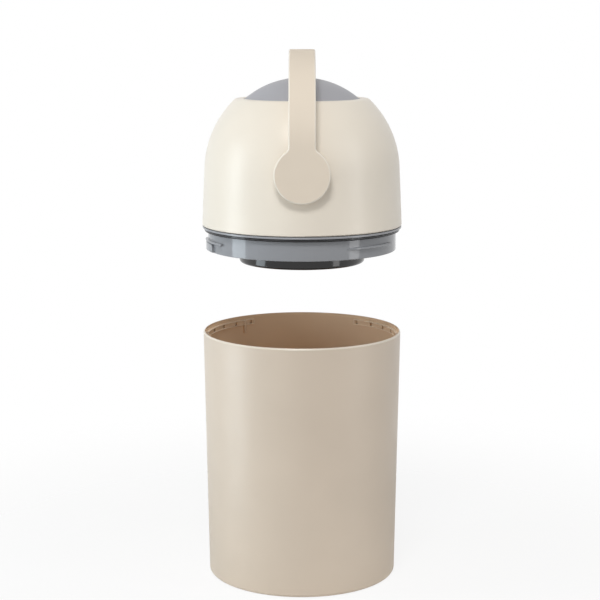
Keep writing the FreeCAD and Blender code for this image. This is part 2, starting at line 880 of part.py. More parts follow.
piston_radius = bore_radius - piston_gap
cup_length = piston_length - piston_cap_plate
cup_inner = piston_radius - piston_wall
piston_boss_circle = cup_inner - piston_boss_inset
weight_radius = piston_boss_circle - piston_boss_radius - weight_gap
cap_screw_seat = piston_length - case_screw[2]
cap_hole_end = cap_screw_seat - cap_screw_bite - pilot_spare


def piston_cup():
    groove_low = (piston_length - wiper_width) / 2
    body = turned(
        outline(
            at(0, 0),
            at(piston_radius, 0),
            at(piston_radius, groove_low),
            at(piston_radius - wiper_depth, groove_low),
            at(piston_radius - wiper_depth, groove_low + wiper_width),
            at(piston_radius, groove_low + wiper_width),
            at(piston_radius, cup_length),
            at(cup_inner, cup_length),
            at(cup_inner, piston_end),
            at(weight_post_radius, piston_end),
            at(weight_post_radius, piston_end + weight_thickness),
            at(0, piston_end + weight_thickness),
        )
    )
    boss = moved(rod(piston_boss_radius, piston_end / 2, cup_length - piston_spigot), piston_boss_circle, 0)
    body = joined(body, *around(boss, cap_screw_count))
    hole = moved(screw_hole(case_screw, cap_hole_end, cup_length), piston_boss_circle, 0)
    holes = around(hole, cap_screw_count)
    holes.append(screw_hole(clamp_screw, hole_cap, piston_end + weight_thickness + over))
    return body.cut(Part.makeCompound(holes))


def piston_cap():
    spigot_low = cup_length - piston_spigot
    body = joined(
        rod(piston_radius, cup_length, piston_length),
        ring(piston_boss_circle - 2 * piston_boss_radius, cup_inner - fit_play, spigot_low, cup_length),
    )
    hole = moved(screw_hole(case_screw, spigot_low - over, piston_length), piston_boss_circle, 0)
    sink = moved(rod(case_screw[1] + fit_play, cap_screw_seat, piston_length + over), piston_boss_circle, 0)
    return body.cut(Part.makeCompound(around(hole, cap_screw_count) + around(sink, cap_screw_count)))


def save_piston(name, *solids):
    start = piston_end_play - mouth_level
    save_in_head(name, *[moved(toward("right", solid), start, 0) for solid in solids])


save_piston("piston_cup", piston_cup())
save_piston("piston_cap", piston_cap())
weight_hole = weight_post_radius + fit_play
save_piston("piston_weight", ring(weight_hole, weight_radius, piston_end, piston_end + weight_thickness))
wiper_low = (piston_length - wiper_width) / 2 + fit_play
wiper_inner = piston_radius - wiper_depth + fit_play
wiper_high = wiper_low + wiper_width - 2 * fit_play
save_piston("piston_wiper", ring(wiper_inner, bore_radius - wiper_gap, wiper_low, wiper_high))
cap_screw = screw(case_screw, cap_screw_bite).rotated(Vector(), Vector(1, 0, 0), 180)
cap_screw = moved(cap_screw, piston_boss_circle, 0, cap_screw_seat)
save_piston("piston_screws", *around(cap_screw, cap_screw_count))
weight_top = piston_end + weight_thickness
weight_screw = screw(clamp_screw, weight_top - hole_cap - pilot_spare).rotated(Vector(), Vector(1, 0, 0), 180)
save_piston("weight_screw", moved(weight_screw, 0, 0, weight_top))
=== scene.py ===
import math

import bmesh
import bpy
from mathutils import Matrix, Vector


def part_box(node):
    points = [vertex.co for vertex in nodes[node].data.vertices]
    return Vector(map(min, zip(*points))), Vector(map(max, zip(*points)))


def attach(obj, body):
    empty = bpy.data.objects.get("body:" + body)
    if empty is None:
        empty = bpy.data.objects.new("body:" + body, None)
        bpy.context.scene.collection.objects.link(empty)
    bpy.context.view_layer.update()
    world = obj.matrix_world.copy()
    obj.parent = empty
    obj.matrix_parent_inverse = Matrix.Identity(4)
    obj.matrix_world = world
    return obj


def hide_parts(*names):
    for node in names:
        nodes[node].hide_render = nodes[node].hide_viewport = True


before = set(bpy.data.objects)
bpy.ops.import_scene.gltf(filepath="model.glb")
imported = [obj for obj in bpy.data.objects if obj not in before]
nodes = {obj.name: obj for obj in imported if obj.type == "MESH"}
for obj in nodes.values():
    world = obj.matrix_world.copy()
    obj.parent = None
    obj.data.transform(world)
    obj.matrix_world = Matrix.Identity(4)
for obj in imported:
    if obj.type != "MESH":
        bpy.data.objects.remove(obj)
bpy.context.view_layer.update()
print("frame loaded,", len(nodes), "nodes")

white = (1, 1, 1, 1)


def toLinear(red, green, blue):
    # colours are written as seen on screen, 0 to 255
    steps = [v / 255 for v in (red, green, blue)]
    return [v / 12.92 if v <= 0.04045 else ((v + 0.055) / 1.055) ** 2.4 for v in steps]


def facing(azimuth, distance, height):
    # azimuth 0 is the front, 90 the right side
    turn = math.radians(azimuth)
    return Vector((distance * math.sin(turn), -distance * math.cos(turn), height))


def setSpan(node, side, span):
    # side is From or To
    node.inputs[side + " Min"].default_value, node.inputs[side + " Max"].default_value = span


# camera

cameraLook = {
    "distance": 2.228,  # in front of the bin's axis
    "height": 0.767,
    "sidestep": -0.0027,
    "pitch": 9.83,  # degrees below level
    "lens": 99.0,
    "sensor": 36.0,
}


def makeCamera(look):
    data = bpy.data.cameras.new("studioCamera")
    data.sensor_width = look["sensor"]
    data.lens = look["lens"]
    camera = bpy.data.objects.new("studioCamera", data)
    camera.location = (look["sidestep"], -look["distance"], look["height"])
    camera.rotation_euler = (math.radians(90 - look["pitch"]), 0, 0)
    bpy.context.scene.collection.objects.link(camera)
    bpy.context.scene.camera = camera


makeCamera(cameraLook)
print("camera set")


# studio: white surroundings, a pale floor that fades out, and four soft boxes

studioLook = {
    "aim": Vector((0, 0, 0.36)),
    "fill": (0.40, 0.26),  # strength of the surroundings at the far left and far right
    "background": 1.0,
    "floorColour": toLinear(246, 245, 243),
    "floorRadius": 1.6,
    "floorSides": 96,
    "floorDrop": 0.0003,  # just clear of the bin's foot
    "floorFade": (0.30, 0.95),  # distances over which the floor fades into the background
    "floorLift": 0.86,  # share of white that the floor shows in the picture
    "boxes": {
        "leftBox": {"azimuth": -80, "distance": 1.5, "height": 0.38, "size": (0.55, 1.6), "power": 11.4},
        "rightBox": {"azimuth": 64, "distance": 1.6, "height": 0.70, "size": (0.40, 1.6), "power": 5.0},
        "frontBox": {"azimuth": -30, "distance": 2.6, "height": 1.0, "size": (1.4, 1.4), "power": 4.0},
        "topBox": {"azimuth": -8, "distance": 1.5, "height": 2.2, "size": (0.6, 0.6), "power": 22.0},
    },
    "tints": {"leftBox": (0.82, 0.93, 1.0)},  # the left box is a little cooler than the others
}


def makeBox(name, look, tint, aim):
    data = bpy.data.lights.new(name, "AREA")
    data.shape = "RECTANGLE"
    data.size, data.size_y = look["size"]
    data.energy = look["power"]
    data.color = tint
    box = bpy.data.objects.new(name, data)
    box.location = facing(look["azimuth"], look["distance"], look["height"])
    box.rotation_euler = (aim - box.location).to_track_quat("-Z", "Y").to_euler()
    box.visible_camera = False
    bpy.context.scene.collection.objects.link(box)


def makeWorld(look):
    world = bpy.data.worlds.new("studioWorld")
    bpy.context.scene.world = world
    world.use_nodes = True
    tree = world.node_tree
    tree.nodes.clear()

    # the picture, reflections and clear surfaces see a plain white background
    path = tree.nodes.new("ShaderNodeLightPath")
    seen = path.outputs["Is Camera Ray"]
    for kind in ("Is Transmission Ray", "Is Glossy Ray"):
        either = tree.nodes.new("ShaderNodeMath")
        either.operation = "MAXIMUM"
        tree.links.new(seen, either.inputs[0])
        tree.links.new(path.outputs[kind], either.inputs[1])
        seen = either.outputs[0]
    shown = tree.nodes.new("ShaderNodeBackground")
    shown.inputs["Strength"].default_value = look["background"]

    # what lights the object is dimmer, and falls off from left to right
    fill = tree.nodes.new("ShaderNodeBackground")
    place = tree.nodes.new("ShaderNodeTexCoord")
    split = tree.nodes.new("ShaderNodeSeparateXYZ")
    dim = tree.nodes.new("ShaderNodeMapRange")
    setSpan(dim, "From", (-1, 1))
    setSpan(dim, "To", look["fill"])
    tree.links.new(place.outputs["Generated"], split.inputs[0])
    tree.links.new(split.outputs["X"], dim.inputs["Value"])
    tree.links.new(dim.outputs[0], fill.inputs["Strength"])

    mix = tree.nodes.new("ShaderNodeMixShader")
    out = tree.nodes.new("ShaderNodeOutputWorld")
    tree.links.new(seen, mix.inputs["Fac"])
    for background, socket in ((fill, mix.inputs[1]), (shown, mix.inputs[2])):
        background.inputs["Color"].default_value = white
        tree.links.new(background.outputs[0], socket)
    tree.links.new(mix.outputs[0], out.inputs["Surface"])


def makeFloor(look):
    bpy.ops.mesh.primitive_circle_add(
        vertices=look["floorSides"], radius=look["floorRadius"], fill_type="NGON"
    )
    floor = bpy.context.object
    floor.name = "studioFloor"
    floor.location.z = -look["floorDrop"]
    paint = bpy.data.materials.new("studioFloor")
    paint.use_nodes = True
    tree = paint.node_tree
    tree.nodes.clear()

    # the paper takes the shadow, and is lifted towards white for the picture only
    paper = tree.nodes.new("ShaderNodeBsdfDiffuse")
    paper.inputs["Color"].default_value = (*look["floorColour"], 1)
    glow = tree.nodes.new("ShaderNodeEmission")
    glow.inputs["Color"].default_value = white
    path = tree.nodes.new("ShaderNodeLightPath")
    lift = tree.nodes.new("ShaderNodeMath")
    lift.operation = "MULTIPLY"
    lift.inputs[1].default_value = look["floorLift"]
    lifted = tree.nodes.new("ShaderNodeMixShader")
    tree.links.new(path.outputs["Is Camera Ray"], lift.inputs[0])
    tree.links.new(lift.outputs[0], lifted.inputs["Fac"])
    tree.links.new(paper.outputs[0], lifted.inputs[1])
    tree.links.new(glow.outputs[0], lifted.inputs[2])

    # further out it fades away
    place = tree.nodes.new("ShaderNodeTexCoord")
    reach = tree.nodes.new("ShaderNodeVectorMath")
    reach.operation = "LENGTH"
    fade = tree.nodes.new("ShaderNodeMapRange")
    fade.interpolation_type = "SMOOTHSTEP"
    setSpan(fade, "From", look["floorFade"])
    clear = tree.nodes.new("ShaderNodeBsdfTransparent")
    mix = tree.nodes.new("ShaderNodeMixShader")
    out = tree.nodes.new("ShaderNodeOutputMaterial")
    tree.links.new(place.outputs["Object"], reach.inputs[0])
    tree.links.new(reach.outputs["Value"], fade.inputs["Value"])
    tree.links.new(fade.outputs[0], mix.inputs["Fac"])
    tree.links.new(lifted.outputs[0], mix.inputs[1])
    tree.links.new(clear.outputs[0], mix.inputs[2])
    tree.links.new(mix.outputs[0], out.inputs["Surface"])
    floor.data.materials.append(paint)


for boxName, boxLook in studioLook["boxes"].items():
    makeBox(boxName, boxLook, studioLook["tints"].get(boxName, white[:3]), studioLook["aim"])
makeWorld(studioLook)
makeFloor(studioLook)
bpy.context.scene.view_settings.view_transform = "Standard"
print("studio set")


# finishes

plasticLooks = {
    "creamSatin": {
        "colour": (238, 229, 214), "roughness": 0.33, "specular": 0.5, "grain": 0.025, "grainSize": 0.0011,
    },
    "handleSatin": {
        "colour": (233, 220, 202), "roughness": 0.65, "specular": 0.25, "grain": 0.012, "grainSize": 0.0011,
    },
    "beigeMatte": {
        "colour": (215, 200, 182), "roughness": 0.40, "specular": 0.7, "grain": 0.07, "grainSize": 0.0009,
    },
    # painted bounce light: a warmer copy of the bin's beige for its inside, stop rib and the backs of the
    # tracks
    "beigePaintedBounce": {
        "colour": (237, 206, 172), "roughness": 0.50, "specular": 0.3, "grain": 0.07, "grainSize": 0.0009,
    },
    # painted highlight: a paler copy of the beige for the tracks' beads
    "beadHighlightBeige": {
        "colour": (248, 224, 196), "roughness": 0.50, "specular": 0.3, "grain": 0.07, "grainSize": 0.0009,
    },
    # painted shade: dark brown inside the tracks' slots
    "slotShadeBrown": {
        "colour": (92, 70, 52), "roughness": 0.60, "specular": 0.2, "grain": 0.07, "grainSize": 0.0009,
    },
    # painted highlight: a paler copy of the beige for the bin's rim
    "beigeRimHighlight": {
        "colour": (228, 217, 201), "roughness": 0.36, "specular": 0.5, "grain": 0.04, "grainSize": 0.0009,
    },
    "ballGrey": {
        "colour": (168, 168, 173), "roughness": 0.45, "specular": 0.4, "grain": 0.04, "grainSize": 0.0011,
    },
    "collarGloss": {
        "colour": (145, 147, 151), "roughness": 0.09, "specular": 0.5, "grain": 0.01, "grainSize": 0.004,
    },
    # painted highlight: a paler, rougher copy of the collar's grey for the flange
    "flangeHighlightGrey": {
        "colour": (152, 153, 157), "roughness": 0.22, "specular": 0.5, "grain": 0.01, "grainSize": 0.003,
    },
    "blackGloss": {
        "colour": (24, 23, 24), "roughness": 0.10, "specular": 0.5, "grain": 0.01, "grainSize": 0.004,
    },
    "whiteNylon": {
        "colour": (226, 226, 222), "roughness": 0.35, "specular": 0.4, "grain": 0.03, "grainSize": 0.0015,
    },
    "gasketGloss": {
        "colour": (58, 58, 60), "roughness": 0.18, "specular": 0.6, "grain": 0.01, "grainSize": 0.004,
    },
    "sealRubber": {
        "colour": (44, 44, 46), "roughness": 0.62, "specular": 0.4, "grain": 0.10, "grainSize": 0.0007,
    },
}
plasticWear = {
    "cloudSize": 0.09,  # slow drift of tone across a moulding
    "cloudDetail": 2.0,
    "cloudSpan": (0.3, 0.7),
    "cloudTone": (0.975, 1.02),
    "smudgeSize": 0.035,  # handling marks, seen only in the gloss
    "smudgeDetail": 4.0,
    "smudgeSpan": (0.35, 0.65),
    "smudgeGloss": (0.92, 1.10),
    "grainDetail": 3.0,
    "edge": 0.0004,  # how far an edge looks rounded off
    "edgeSamples": 6,
    "wearAndSheenSpan": (0.98, 0.80),  # how far an edge turns the surface before it is painted paler
    "wearAndSheenTone": 1.07,  # edges a little paler: partly rubbed wear, partly a painted highlight
}
roundHighlightLooks = {
    "handleSatin": {
        "colour": (243, 235, 222),  # painted highlight: rounded edges painted paler than the faces
        "archFrom": 0.6049,  # height at which the flat legs turn into the arch
        "faceEdge": (0.997, 0.90),  # squared turn over which a face becomes a round
        "sideEdge": (0.0, 0.1),  # and over which the round becomes a side
    },
}
steelLook = {
    "tones": ((158, 160, 164), (196, 198, 201)),
    "gloss": (0.25, 0.45),
    "grainScale": 900,
}


def paintRoundHighlights(tree, place, under, look):
    # a round is where the surface looks neither outwards, as a face does, nor straight to the side
    def combine(operation, first, second):
        node = tree.nodes.new("ShaderNodeMath")
        node.operation = operation
        for socket, source in zip(node.inputs, (first, second)):
            if isinstance(source, (int, float)):
                socket.default_value = source
            else:
                tree.links.new(source, socket)
        return node.outputs[0]

    def ramp(source, span):
        node = tree.nodes.new("ShaderNodeMapRange")
        setSpan(node, "From", span)
        tree.links.new(source, node.inputs["Value"])
        return node.outputs["Result"]

    outlook = tree.nodes.new("ShaderNodeSeparateXYZ")
    tree.links.new(place.outputs["Normal"], outlook.inputs[0])
    where = tree.nodes.new("ShaderNodeSeparateXYZ")
    tree.links.new(place.outputs["Object"], where.inputs[0])
    sideways, forwards = outlook.outputs["X"], outlook.outputs["Y"]
    legFace = combine("MULTIPLY", forwards, forwards)
    archFace = combine("SUBTRACT", 1, combine("MULTIPLY", sideways, sideways))
    onArch = combine("GREATER_THAN", where.outputs["Z"], look["archFrom"])
    face = tree.nodes.new("ShaderNodeMix")
    tree.links.new(onArch, face.inputs["Factor"])
    tree.links.new(legFace, face.inputs["A"])
    tree.links.new(archFace, face.inputs["B"])
    faceShare = face.outputs["Result"]
    mask = combine("MULTIPLY", ramp(faceShare, look["faceEdge"]), ramp(faceShare, look["sideEdge"]))
    # painted highlight: the rounds take the paler colour in place of light caught on them
    roundHighlight = tree.nodes.new("ShaderNodeMix")
    roundHighlight.data_type = "RGBA"
    roundHighlight.inputs["B"].default_value = (*toLinear(*look["colour"]), 1)
    tree.links.new(mask, roundHighlight.inputs["Factor"])
    tree.links.new(under.outputs["Result"], roundHighlight.inputs["A"])
    return roundHighlight


def makePlastic(name, look):
    paint = bpy.data.materials.new(name)
    paint.use_nodes = True
    tree = paint.node_tree
    shader = tree.nodes["Principled BSDF"]
    place = tree.nodes.new("ShaderNodeTexCoord")
    colour = toLinear(*look["colour"])
    shader.inputs["Specular IOR Level"].default_value = look["specular"]

    def shaded(share):
        return (*[min(v * share, 1) for v in colour], 1)

    def noise(size, detail):
        node = tree.nodes.new("ShaderNodeTexNoise")
        node.inputs["Scale"].default_value = 1 / size
        node.inputs["Detail"].default_value = detail
        tree.links.new(place.outputs["Object"], node.inputs["Vector"])
        return node

    cloud = noise(plasticWear["cloudSize"], plasticWear["cloudDetail"])
    tone = tree.nodes.new("ShaderNodeValToRGB")
    stops = tone.color_ramp.elements
    stops[0].position, stops[1].position = plasticWear["cloudSpan"]
    for stop, share in zip(stops, plasticWear["cloudTone"]):
        stop.color = shaded(share)
    tree.links.new(cloud.outputs["Fac"], tone.inputs["Fac"])

    # edges are softened, and painted paler where that turns the surface: partly rubbed wear, partly a
    # painted highlight
    soft = tree.nodes.new("ShaderNodeBevel")
    soft.samples = plasticWear["edgeSamples"]
    soft.inputs["Radius"].default_value = plasticWear["edge"]
    shape = tree.nodes.new("ShaderNodeNewGeometry")
    turned = tree.nodes.new("ShaderNodeVectorMath")
    turned.operation = "DOT_PRODUCT"
    wearAndSheenMask = tree.nodes.new("ShaderNodeMapRange")
    setSpan(wearAndSheenMask, "From", plasticWear["wearAndSheenSpan"])
    wearAndSheenColour = tree.nodes.new("ShaderNodeMix")
    wearAndSheenColour.data_type = "RGBA"
    wearAndSheenColour.inputs["B"].default_value = shaded(plasticWear["wearAndSheenTone"])
    tree.links.new(soft.outputs["Normal"], turned.inputs[0])
    tree.links.new(shape.outputs["Normal"], turned.inputs[1])
    tree.links.new(turned.outputs["Value"], wearAndSheenMask.inputs["Value"])
    tree.links.new(wearAndSheenMask.outputs["Result"], wearAndSheenColour.inputs["Factor"])
    tree.links.new(tone.outputs["Color"], wearAndSheenColour.inputs["A"])
    # the handle's rounds also get a painted highlight
    if name in roundHighlightLooks:
        wearAndSheenColour = paintRoundHighlights(tree, place, wearAndSheenColour, roundHighlightLooks[name])
    tree.links.new(wearAndSheenColour.outputs["Result"], shader.inputs["Base Color"])

    smudge = noise(plasticWear["smudgeSize"], plasticWear["smudgeDetail"])
    gloss = tree.nodes.new("ShaderNodeMapRange")
    setSpan(gloss, "From", plasticWear["smudgeSpan"])
    setSpan(gloss, "To", [look["roughness"] * share for share in plasticWear["smudgeGloss"]])
    tree.links.new(smudge.outputs["Fac"], gloss.inputs["Value"])
    tree.links.new(gloss.outputs["Result"], shader.inputs["Roughness"])

    # moulded grain
    grain = noise(look["grainSize"], plasticWear["grainDetail"])
    bump = tree.nodes.new("ShaderNodeBump")
    bump.inputs["Distance"].default_value = look["grainSize"]
    bump.inputs["Strength"].default_value = look["grain"]
    tree.links.new(grain.outputs["Fac"], bump.inputs["Height"])
    tree.links.new(soft.outputs["Normal"], bump.inputs["Normal"])
    tree.links.new(bump.outputs["Normal"], shader.inputs["Normal"])
    return paint


def makeSteel(name, look):
    paint = bpy.data.materials.new(name)
    paint.use_nodes = True
    tree = paint.node_tree
    shader = tree.nodes["Principled BSDF"]
    shader.inputs["Metallic"].default_value = 1.0
    place = tree.nodes.new("ShaderNodeTexCoord")
    grain = tree.nodes.new("ShaderNodeTexNoise")
    grain.inputs["Scale"].default_value = look["grainScale"]
    tree.links.new(place.outputs["Object"], grain.inputs["Vector"])
    tone = tree.nodes.new("ShaderNodeValToRGB")
    for stop, colour in zip(tone.color_ramp.elements, look["tones"]):
        stop.color = (*toLinear(*colour), 1)
    tree.links.new(grain.outputs["Fac"], tone.inputs["Fac"])
    tree.links.new(tone.outputs["Color"], shader.inputs["Base Color"])
    gloss = tree.nodes.new("ShaderNodeMapRange")
    setSpan(gloss, "To", look["gloss"])
    tree.links.new(grain.outputs["Fac"], gloss.inputs["Value"])
    tree.links.new(gloss.outputs["Result"], shader.inputs["Roughness"])
    return paint


finishes = {name: makePlastic(name, look) for name, look in plasticLooks.items()}
finishes["screwSteel"] = makeSteel("screwSteel", steelLook)

# every node that isn't named here is a screw or the piston's weight
nodeFinish = {
    "bin": "beigeMatte",
    "dome": "creamSatin",
    "handle": "handleSatin",
    "collar": "collarGloss",
    "top_seal_retainer": "collarGloss",
    "chute_ring": "blackGloss",
    "rim_gasket": "gasketGloss",
    "top_seal": "sealRubber",
    "lower_seal": "sealRubber",
    "piston_wiper": "sealRubber",
    "ball_left_shell": "ballGrey",
    "ball_right_shell": "ballGrey",
    "left_mouth_ring": "ballGrey",
    "right_mouth_ring": "ballGrey",
    "chamber_tube": "whiteNylon",
    "front_trunnion": "whiteNylon",
    "rear_trunnion": "whiteNylon",
    "front_bush": "whiteNylon",
    "rear_bush": "whiteNylon",
    "piston_cup": "whiteNylon",
    "piston_cap": "whiteNylon",
}
for nodeName, node in nodes.items():
    finish = finishes[nodeFinish.get(nodeName, "screwSteel")]
    for place in node.material_slots:
        place.material = finish
print("finishes given")


# turned mouldings; their outlines are (radius, height) pairs in millimetres

mm = 0.001
spinSteps = 240
spinTurns = [360 * i / spinSteps for i in range(spinSteps)]
creaseAngle = 28  # degrees; sharper folds stay crisp
plateRound = {"segments": 2, "profile": 0.6}


def low(node, axis):
    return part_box(node)[0][axis] / mm


def high(node, axis):
    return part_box(node)[1][axis] / mm


def arcLine(middle, radius, start, end, steps):
    turns = [math.radians(start + (end - start) * i / steps) for i in range(steps + 1)]
    return [(middle[0] + radius * math.cos(t), middle[1] + radius * math.sin(t)) for t in turns]


def spot(azimuth, radius, height):
    return facing(azimuth, radius * mm, height * mm)


def paintFaces(faces, finish):
    # finish is a place in the piece's own list of finishes
    for face in faces:
        face.material_index = finish


def skinRows(mesh, rows, whole=False):
    # each row is a closed cross-section at its own azimuth
    made = [[mesh.verts.new(point) for point in row] for row in rows]
    following = made[1:] + made[:1] if whole else made[1:]
    bands = []
    for here, there in zip(made, following):
        quads = [(here[k - 1], there[k - 1], there[k], here[k]) for k in range(len(here))]
        bands.append([mesh.faces.new(quad) for quad in quads])
    if not whole:
        mesh.faces.new(made[0])
        mesh.faces.new(made[-1])
    return bands


def spinRing(mesh, outline):
    return skinRows(mesh, [[spot(turn, *point) for point in outline] for turn in spinTurns], True)


def spinBowl(mesh, outline):
    # the outline starts and ends on the axis
    rows = [[mesh.verts.new(spot(turn, *point)) for point in outline[1:-1]] for turn in spinTurns]
    poles = [mesh.verts.new(spot(0, *outline[end])) for end in (0, -1)]
    bands = []
    for here, there in zip(rows, rows[1:] + rows[:1]):
        quads = [(here[k - 1], there[k - 1], there[k], here[k]) for k in range(1, len(here))]
        band = [mesh.faces.new(quad) for quad in quads]
        first = mesh.faces.new((poles[0], here[0], there[0]))
        last = mesh.faces.new((poles[1], here[-1], there[-1]))
        bands.append([first, *band, last])
    return bands


def addPlate(mesh, corners, azimuth, width, soften, finish=0):
    # an upright plate along one azimuth, with softened edges
    turn = Matrix.Rotation(math.radians(azimuth), 4, "Z")
    sides = []
    for shift in (-width / 2, width / 2):
        sides.append([mesh.verts.new(turn @ (Vector((shift, -r, z)) * mm)) for r, z in corners])
    faces = [mesh.faces.new(side) for side in sides]
    for k in range(len(corners)):
        faces.append(mesh.faces.new((sides[0][k - 1], sides[1][k - 1], sides[1][k], sides[0][k])))
    paintFaces(faces, finish)
    edges = list({edge for face in faces for edge in face.edges})
    bmesh.ops.bevel(mesh, geom=edges, offset=soften * mm, affect="EDGES", **plateRound)


def makePiece(name, mesh, body, node, finishNames):
    bmesh.ops.recalc_face_normals(mesh, faces=mesh.faces)
    for face in mesh.faces:
        face.smooth = True
    for edge in mesh.edges:
        edge.smooth = edge.calc_face_angle(0) < math.radians(creaseAngle)
    data = bpy.data.meshes.new(name)
    mesh.to_mesh(data)
    mesh.free()
    for finishName in finishNames:
        data.materials.append(finishes[finishName])
    piece = bpy.data.objects.new(name, data)
    bpy.context.scene.collection.objects.link(piece)
    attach(piece, body)
    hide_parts(node)
    print("made", name, len(data.polygons), "faces")


# bin, with the tracks and the stop rib inside its rim

binLook = {
    "radius": high("bin", 0),
    "height": high("bin", 2),
    "draft": math.tan(math.radians(1.0)),
    "wall": 3.0,
    "wallRings": (40, 90, 140, 190, 240, 290, 330),  # heights at which the wall is divided
    "floor": 3.5,
    "footRound": 5.0,
    "footWidth": 12.0,
    "footRecess": 1.5,
    "floorRound": 4.0,
    "roundSteps": 8,
    "lipWall": 2.0,
    "lipEdge": 0.15,  # bevel inside the rim
    "seatDrop": 3.5,  # from the rim down to the gasket's seat
    "rimSlope": (1.6, 2.2),  # width and height of the slope round the rim's outside
}
trackLook = {
    "azimuths": (-1.5, 118.5, 238.5),
    "arc": 53.0,
    "span": (327.0, 334.5),
    "inset": 6.3,  # from the rim's outside to the track's face
    "bead": 1.2,
    "recess": 0.8,
    "soften": 0.3,
    "slots": (-24, -12, 0, 12, 24),  # degrees from the track's middle
    "slotArc": 1.9,
    "slotMargin": 0.3,
    "slotDepth": 2.4,
    "slotLean": 0.02,
    "slope": 0.12,  # degrees
    "stretch": 1.5,  # degrees; longest straight stretch along the round wall
}
stopRibLook = {"azimuth": 218.8, "width": 3.0, "top": 335.0, "foot": 315.0, "soften": 0.5}

# the bin's beige and copies of it with painted light and shade: painted bounce light inside, a painted
# highlight on rim and beads, painted shade in the slots
binFinishes = ("beigeMatte", "beigePaintedBounce", "beigeRimHighlight", "slotShadeBrown", "beadHighlightBeige")
paintedBounceFinish, rimHighlightFinish, slotShadeFinish, beadHighlightFinish = range(1, len(binFinishes))
rimBands = 3  # the slope, the flat top and the bevel inside
recessBands = slice(5, 10)  # of a track's cross-section, what lies back between the beads
slotBands = slice(6, 9)  # and of that, the sides and back of a slot


def wallRadius(height):
    return binLook["radius"] - (binLook["height"] - height) * binLook["draft"]


def binOutline(look):
    floorTop = look["footRecess"] + look["floor"]
    lean = math.atan(look["draft"])
    leanTurn = -math.degrees(lean)

    def corner(wall, floor, radius):
        return (wall - radius * (1 - math.sin(lean)) / math.cos(lean), floor + radius)

    foot = corner(wallRadius(0), 0, look["footRound"])
    hollow = corner(wallRadius(floorTop) - look["wall"], floorTop, look["floorRound"])
    footInner = foot[0] - look["footWidth"]
    slopeWidth, slopeHeight = look["rimSlope"]
    rim, lipInner = look["height"], look["radius"] - look["lipWall"]
    seat = rim - look["seatDrop"]
    slopeFoot = wallRadius(rim - slopeHeight), rim - slopeHeight
    slopeHead = look["radius"] - slopeWidth, rim
    outside = [
        (0, look["footRecess"]),
        (footInner - look["footRecess"], look["footRecess"]),
        (footInner, 0),
        *arcLine(foot, look["footRound"], -90, leanTurn, look["roundSteps"]),
        *[(wallRadius(z), z) for z in look["wallRings"]],
        slopeFoot,
        slopeHead,
        (lipInner + look["lipEdge"], rim),
    ]
    inside = [
        (lipInner, rim - look["lipEdge"]),
        (lipInner, seat),
        (wallRadius(seat) - look["wall"], seat),
        *[(wallRadius(z) - look["wall"], z) for z in reversed(look["wallRings"])],
        *arcLine(hollow, look["floorRound"], leanTurn, -90, look["roundSteps"]),
        (0, floorTop),
    ]
    return outside, inside


def trackRow(look, azimuth, recess, slot):
    # recess and slot say how far the face between the beads, and a slot in it, lie back
    bottom, top = look["span"]
    face = binLook["radius"] - look["inset"]
    root = wallRadius(top) - binLook["wall"] / 2
    beadLow, beadHigh = bottom + look["bead"], top - look["bead"]
    slotLow, slotHigh = beadLow + look["slotMargin"], beadHigh - look["slotMargin"]
    soft = look["soften"]
    points = [
        (root, bottom),
        (face + soft, bottom),
        (face, bottom + soft),
        (face, beadLow - soft),
        (face + recess, beadLow),
        (face + recess, slotLow),
        (face + recess + slot, slotLow + look["slotLean"]),
        (face + recess + slot, slotHigh - look["slotLean"]),
        (face + recess, slotHigh),
        (face + recess, beadHigh),
        (face, beadHigh + soft),
        (face, top - soft),
        (face + soft, top),
        (root, top),
    ]
    return [spot(azimuth, *point) for point in points]


def addTrack(mesh, look, middle):
    half, slope, back, depth = look["arc"] / 2, look["slope"], look["recess"], look["slotDepth"]
    beadArc = math.degrees(look["bead"] / binLook["radius"])
    side = look["slotArc"] / 2
    # each stop is a turn along the track, the recess there and the slot's depth
    stops = [(-half, 0, 0), (beadArc - half, 0, 0), (beadArc - half + slope, back, 0)]
    for place in look["slots"]:
        stops += [(place - side, back, 0), (place - side + slope, back, depth)]
        stops += [(place + side - slope, back, depth), (place + side, back, 0)]
    stops += [(half - beadArc - slope, back, 0), (half - beadArc, 0, 0), (half, 0, 0)]
    # long stretches between slots follow the round wall
    filled = [stops[0]]
    for stop in stops[1:]:
        start = filled[-1]
        reach = stop[0] - start[0]
        parts = max(1, math.ceil(reach / look["stretch"]))
        filled += [(start[0] + reach * k / parts, *start[1:]) for k in range(1, parts)]
        filled.append(stop)
    bands = skinRows(mesh, [trackRow(look, middle + turn, *depths) for turn, *depths in filled])
    for faces, here, there in zip(bands, filled, filled[1:]):
        # painted highlight on the beads, painted bounce light on what lies back between them
        paintFaces(faces, beadHighlightFinish)
        if here[1] and there[1]:
            paintFaces(faces[recessBands], paintedBounceFinish)
        if here[2] and there[2]:
            paintFaces(faces[slotBands], slotShadeFinish)  # painted shade: the slots are painted dark inside


